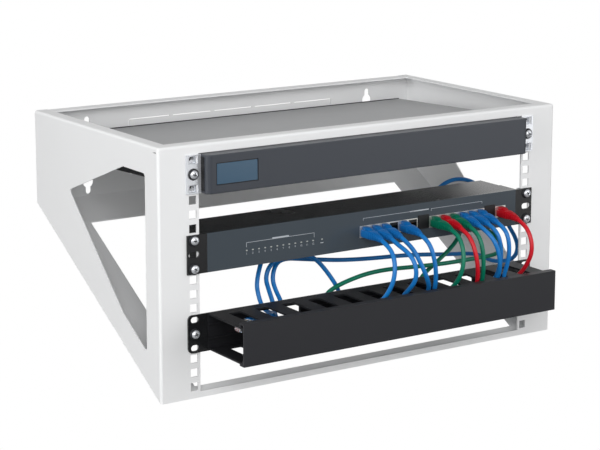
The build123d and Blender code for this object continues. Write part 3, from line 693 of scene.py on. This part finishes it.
def cross_pattern():
    # Painted shade: a dark cross at the floor of the recess, seen in the head's top, standing in for the
    # shade in the zinc recess.
    bm = bmesh.new()
    still = Matrix()
    box_body(bm, still, (-2.3, -0.5, 1.5), (2.3, 0.5, 2.6))
    box_body(bm, still, (-0.5, -2.3, 1.5), (0.5, 2.3, 2.6))
    return mesh_piece("cross_pattern", bm, port_black)


def washer_pattern():
    # A cup with a bore: its section goes round and closes on itself.
    profile = [(3.1, 0.0), (6.5, 0.0), (6.5, 0.7), (6.1, 1.5),
               (5.6, 2.3), (5.1, 2.3), (5.0, 1.0), (3.1, 0.9)]
    steps = 40
    bm = bmesh.new()
    rings = turned_rings(bm, profile, steps)
    for low, high in zip(rings, rings[1:] + rings[:1]):
        for i in range(steps):
            j = (i + 1) % steps
            bm.faces.new((low[i], low[j], high[j], high[i]))
    return smooth(mesh_piece("washer_pattern", bm, duct_plastic), 40)


def nut_pattern():
    # A square nut in a folded spring cage with two hooks through the hole.
    bm = bmesh.new()
    still = Matrix()
    box_body(bm, still, (-6.25, -4.6, -0.6), (6.25, 4.6, 0.0))
    box_body(bm, still, (-6.25, -4.6, -7.0), (-5.65, 4.6, -0.6))
    box_body(bm, still, (5.65, -4.6, -7.0), (6.25, 4.6, -0.6))
    box_body(bm, still, (-5.2, -5.2, -6.2), (5.2, 5.2, -0.6))
    for side in (-1, 1):
        low, high = sorted((side * 4.55, side * 3.95))
        box_body(bm, still, (low, -4.4, 0.0), (high, 4.4, 2.0))
    body = mesh_piece("nut_pattern", bm, zinc)
    bore_radius = 3.0
    bm = bmesh.new()
    skin(bm, turned_rings(bm, [(bore_radius, -8.0), (bore_radius, 1.0)], 24))
    return cut(body, mesh_piece("bore", bm, zinc))


columns = (-hole_column, hole_column)
hole_low, hole_middle, hole_high = 6.35, 22.225, 38.1
screw_heights = (hole_middle + rack_unit, hole_low + 3 * rack_unit, hole_high + 3 * rack_unit,
                 hole_middle + 5 * rack_unit)
nut_heights = screw_heights + (hole_low + 5 * rack_unit, hole_high + 5 * rack_unit)
head_out, washer_out, upright_back = 3.0, 2.0, -2.0
quarter = math.pi / 2
fasteners = (
    ("screw_heads", screw_pattern(), head_out, screw_heights, quarter, zinc, "zinc", "screws"),
    # Painted shade in each head's cross recess
    ("screw_recesses", cross_pattern(), head_out, screw_heights, quarter, port_black, "zinc", "screws"),
    ("washer_cups", washer_pattern(), washer_out, screw_heights, 0.0, duct_plastic, "black_plastic",
     "cup_washers"),
    ("nut_cages", nut_pattern(), upright_back, nut_heights, 0.0, zinc, "zinc", "cage_nuts"),
)
for name, pattern, out, heights, most_turn, material, slot_name, node in fasteners:
    points = [place(x, out, z) for x in columns for z in heights]
    piece = grow(name, set_on_places, points, piece=pattern, most_turn=most_turn, seed=7, material=material)
    keep(smooth(piece, 35), slot_name, node)
    bpy.data.objects.remove(pattern)

# Hub: printing and lamps on the face, liners and contacts in the two free ports
hub_face_out = 2.0
ink_out, ink_thick = hub_face_out + 0.03, 0.06
lamp_first, lamp_pitch, lamp_count, single_lamp = -165.8, 7.99, 12, -65.8
lamp_out, lamp_height, lamp_size = hub_face_out + 0.2, 152.0, (1.9, 0.5, 1.2)
number_height, number_tall = 147.2, 3.2
# Printed bars: left end, middle height, width and thickness on the face
printed_bars = {
    "bracket_line": (-166.15, 160.7, 89.9, 0.45),
    "bracket_left_end": (-166.225, 158.3, 0.45, 5.2),
    "bracket_right_end": (-76.625, 158.3, 0.45, 5.2),
    "bracket_bar": (-132.2, 161.6, 22.0, 1.5),
    "left_port_line": (-9.0, 169.0, 76.0, 0.4),
    "right_port_line": (88.5, 169.0, 76.0, 0.4),
    "left_line_end": (-9.0, 167.7, 0.4, 2.6),
    "right_line_start": (88.5, 167.7, 0.4, 2.6),
    "right_line_end": (164.1, 167.7, 0.4, 2.6),
    "port_bar": (57.55, 169.0, 27.3, 1.3),
    "single_mark": (-67.8, 147.9, 4.0, 0.9),
}
ink = [row(name, 1, (left + wide / 2, ink_out, height), (0, 0, 0), (wide, ink_thick, tall), print_ink)
       for name, (left, height, wide, tall) in printed_bars.items()]


def number(text, across, height, tall):
    data = bpy.data.curves.new("number", "FONT")
    data.body = text
    data.size = tall * MM
    data.align_x = "CENTER"
    host = bpy.data.objects.new("number", data)
    bpy.context.collection.objects.link(host)
    piece = plain_mesh(host, f"number_{text}")
    on_face = Matrix.Translation(place(across, ink_out + 0.03, height))
    piece.data.transform(on_face @ Matrix.Rotation(math.pi / 2, 4, "X"))
    piece.data.materials.clear()
    piece.data.materials.append(print_ink)
    return piece


ink += [number(str(i + 1), lamp_first + i * lamp_pitch, number_height, number_tall)
        for i in range(lamp_count)]
keep(join("hub_printing", ink), "badge")
lamps = [row("lamp_row", lamp_count, (lamp_first, lamp_out, lamp_height), (lamp_pitch, 0, 0), lamp_size,
             lamp_lens),
         row("lamp_single", 1, (single_lamp, lamp_out, lamp_height), (0, 0, 0), lamp_size, lamp_lens)]
keep(join("hub_lamps", lamps), "port_metal")

free_ports = (34.2, 61.6)
notch_height, notch_size = 157.7, (11.4, 0.04, 3.0)
notch_out = port_face + notch_size[1] / 2
notches = [row("notch", 1, (port_x, notch_out, notch_height), (0, 0, 0), notch_size, port_black)
           for port_x in free_ports]
keep(join("latch_notches", notches), "black_plastic")

half_wide, half_tall, liner_deep, liner_wall, liner_end = 5.9, 4.2, 12.9, 0.25, 0.4
inner_wide, inner_tall = half_wide - liner_wall, half_tall - liner_wall
bm = bmesh.new()
for port_x in free_ports:
    at = heading_frame(place(port_x, port_face, port_axis), Vector((0, 1, 0)))
    box_body(bm, at, (-half_wide, -half_tall, 0.0), (half_wide, -inner_tall, liner_deep))
    box_body(bm, at, (-half_wide, inner_tall, 0.0), (half_wide, half_tall, liner_deep))
    box_body(bm, at, (-half_wide, -inner_tall, 0.0), (-inner_wide, inner_tall, liner_deep))
    box_body(bm, at, (inner_wide, -inner_tall, 0.0), (half_wide, inner_tall, liner_deep))
    end_face = liner_deep - liner_end
    box_body(bm, at, (-inner_wide, -inner_tall, end_face), (inner_wide, inner_tall, liner_deep))
keep(mesh_piece("port_liners", bm, port_black), "black_plastic")
contact_pitch, contact_size = 1.02, (0.4, 9.0, 0.3)
contacts = [row("contacts", 8, (port_x - 3.5 * contact_pitch, -4.0, port_axis + 2.9), (contact_pitch, 0, 0),
                contact_size, gold)
            for port_x in free_ports]
keep(join("port_contacts", contacts), "port_metal")

# Ribbed dark grips in the ends of the router's front
bezel_low, bezel_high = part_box("router_bezel")
grip_out = (front_y - bezel_high[1]) / MM + 4.5
grip_deep, grip_tall, grip_middle = 7.6, 38.0, 244.5
grip_ribs, rib_pitch, rib_wide = 13, 2.9, 1.3
rib_first = grip_middle - (grip_ribs - 1) / 2 * rib_pitch
grips = []
for side, end_x in ((-1, bezel_low[0] / MM), (1, bezel_high[0] / MM)):
    back_x, rib_x = end_x + side * 0.1, end_x + side * 0.35
    grips.append(row("grip_back", 1, (back_x, grip_out, grip_middle), (0, 0, 0),
                     (0.2, grip_deep, grip_tall), port_black))
    grips.append(row("grip_ribs", grip_ribs, (rib_x, grip_out, rib_first), (0, 0, rib_pitch),
                     (0.7, grip_deep, rib_wide), port_black))
keep(join("bezel_grips", grips), "black_plastic")

# Painted shadow: a black strip at the rear edge of the router, just above its cover, which tilts down
# towards the rear, standing in for the shadow gap there
cover_low, cover_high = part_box("router_cover")
cover_tilt = math.radians(2.4)
cover_droop = (cover_high[1] - cover_low[1]) / MM * math.tan(cover_tilt)
edge_wide, edge_deep, edge_tall, edge_sunk = (cover_high[0] - cover_low[0]) / MM, 1.2, 1.0, 0.1
edge_out = (front_y - cover_high[1]) / MM + edge_deep / 2
edge_height = (cover_high[2] - floor_z) / MM - cover_droop + edge_tall / 2 - edge_sunk
rear_shadow_strip = row("router_rear_edge", 1, (0, edge_out, edge_height), (0, 0, 0),
                (edge_wide, edge_deep, edge_tall), port_black)
keep(rear_shadow_strip, "black_steel")

# Painted shade: a dark frame on the floor of the badge's recess, in the gap round the badge
badge_low, badge_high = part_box("router_badge")
badge_middle = (badge_low + badge_high) / 2
badge_wide, badge_tall = (badge_high[0] - badge_low[0]) / MM, (badge_high[2] - badge_low[2]) / MM
recess_gap = 1.0
recess_out = (front_y - badge_high[1]) / MM + 0.1
badge_x, badge_z = badge_middle[0] / MM, (badge_middle[2] - floor_z) / MM
gap_wide, gap_tall = badge_wide + recess_gap, badge_tall + recess_gap
gap = [row("gap_level", 2, (badge_x, recess_out, badge_z - gap_tall / 2), (0, 0, gap_tall),
           (badge_wide + 2 * recess_gap, 0.2, recess_gap), port_black),
       row("gap_upright", 2, (badge_x - gap_wide / 2, recess_out, badge_z), (gap_wide, 0, 0),
           (recess_gap, 0.2, badge_tall), port_black)]
keep(join("badge_gap", gap), "black_plastic")

# Floor, backdrop and lights
bpy.ops.mesh.primitive_plane_add(size=12.0, location=(0, 0, rack_low[2] - 0.45))
floor = bpy.context.object
floor.name = "studio_floor"


def studio_white():
    material = bpy.data.materials.new("studio_white")
    material.use_nodes = True
    tree = material.node_tree
    shader = tree.nodes["Principled BSDF"]
    shader.inputs["Base Color"].default_value = (0.16, 0.16, 0.16, 1.0)
    shader.inputs["Roughness"].default_value = 0.9
    glow = tree.nodes.new("ShaderNodeEmission")
    glow.inputs["Strength"].default_value = 1.0
    rays = tree.nodes.new("ShaderNodeLightPath")
    either = tree.nodes.new("ShaderNodeMath")
    either.operation = "MAXIMUM"
    mix = tree.nodes.new("ShaderNodeMixShader")
    end = tree.nodes["Material Output"]
    link = tree.links.new
    link(rays.outputs["Is Camera Ray"], either.inputs[0])
    link(rays.outputs["Is Transmission Ray"], either.inputs[1])
    link(either.outputs[0], mix.inputs["Fac"])
    link(shader.outputs["BSDF"], mix.inputs[1])
    link(glow.outputs["Emission"], mix.inputs[2])
    link(mix.outputs["Shader"], end.inputs["Surface"])
    return material


floor.data.materials.append(studio_white())

room_front = 0.38
room_back = 0.32
room_back_mirrored = 0.95


def studio_world():
    # White for the camera. Other rays see a backdrop behind the rack, brightest in reflections, and a
    # dimmer room in front.
    world = bpy.data.worlds.new("studio")
    world.use_nodes = True
    tree = world.node_tree
    room = tree.nodes["Background"]
    plain = tree.nodes.new("ShaderNodeBackground")
    plain.inputs["Strength"].default_value = 1.0
    for background in (room, plain):
        background.inputs["Color"].default_value = (1.0, 1.0, 1.0, 1.0)
    coords = tree.nodes.new("ShaderNodeTexCoord")
    split = tree.nodes.new("ShaderNodeSeparateXYZ")
    depth = tree.nodes.new("ShaderNodeMapRange")
    depth.inputs["From Min"].default_value = -0.25
    depth.inputs["From Max"].default_value = 0.45
    depth.inputs["To Min"].default_value = room_front
    mirrored = tree.nodes.new("ShaderNodeMapRange")
    mirrored.inputs["To Min"].default_value = room_back
    mirrored.inputs["To Max"].default_value = room_back_mirrored
    rays = tree.nodes.new("ShaderNodeLightPath")
    seen = tree.nodes.new("ShaderNodeMath")
    seen.operation = "MAXIMUM"
    choose = tree.nodes.new("ShaderNodeMixShader")
    link = tree.links.new
    link(coords.outputs["Generated"], split.inputs["Vector"])
    link(split.outputs["Y"], depth.inputs["Value"])
    link(rays.outputs["Is Glossy Ray"], mirrored.inputs["Value"])
    link(mirrored.outputs["Result"], depth.inputs["To Max"])
    link(depth.outputs["Result"], room.inputs["Strength"])
    link(rays.outputs["Is Camera Ray"], seen.inputs[0])
    link(rays.outputs["Is Transmission Ray"], seen.inputs[1])
    link(seen.outputs[0], choose.inputs["Fac"])
    link(room.outputs["Background"], choose.inputs[1])
    link(plain.outputs["Background"], choose.inputs[2])
    link(choose.outputs["Shader"], tree.nodes["World Output"].inputs["Surface"])
    return world


bpy.context.scene.world = studio_world()


def soft_light(name, where, aim, size, power):
    data = bpy.data.lights.new(name, "AREA")
    data.shape = "SQUARE"
    data.size = size
    data.energy = power
    lamp = bpy.data.objects.new(name, data)
    bpy.context.collection.objects.link(lamp)
    lamp.location = where
    lamp.rotation_euler = (Vector(aim) - Vector(where)).to_track_quat("-Z", "Y").to_euler()
    return lamp


aim_point = (0, -0.2, -0.1)
soft_light("key_light", (-1.3, -2.4, 1.0), aim_point, 1.8, 45)
soft_light("left_light", (-2.6, -0.6, 0.5), aim_point, 1.4, 35)
soft_light("fill_light", (1.6, -2.2, 0.4), aim_point, 1.8, 20)

# Camera fitted to the rack's square holes in the photograph
camera_place = (-1.2391, -2.0490, 0.4205)
camera_azimuth = math.radians(33.21)
camera_elevation = math.radians(-10.872)
focal_pixels = 1908.3
picture_width = 600
axis_row_offset = -60
camera_data = bpy.data.cameras.new("camera")
camera_data.sensor_width = 36.0
camera_data.lens = focal_pixels / picture_width * camera_data.sensor_width
camera_data.shift_y = axis_row_offset / picture_width
camera = bpy.data.objects.new("camera", camera_data)
bpy.context.collection.objects.link(camera)
camera.location = camera_place
look = Vector((math.sin(camera_azimuth) * math.cos(camera_elevation),
               math.cos(camera_azimuth) * math.cos(camera_elevation), math.sin(camera_elevation)))
camera.rotation_euler = look.to_track_quat("-Z", "Y").to_euler()
bpy.context.scene.camera = camera
bpy.context.scene.view_settings.view_transform = "Standard"
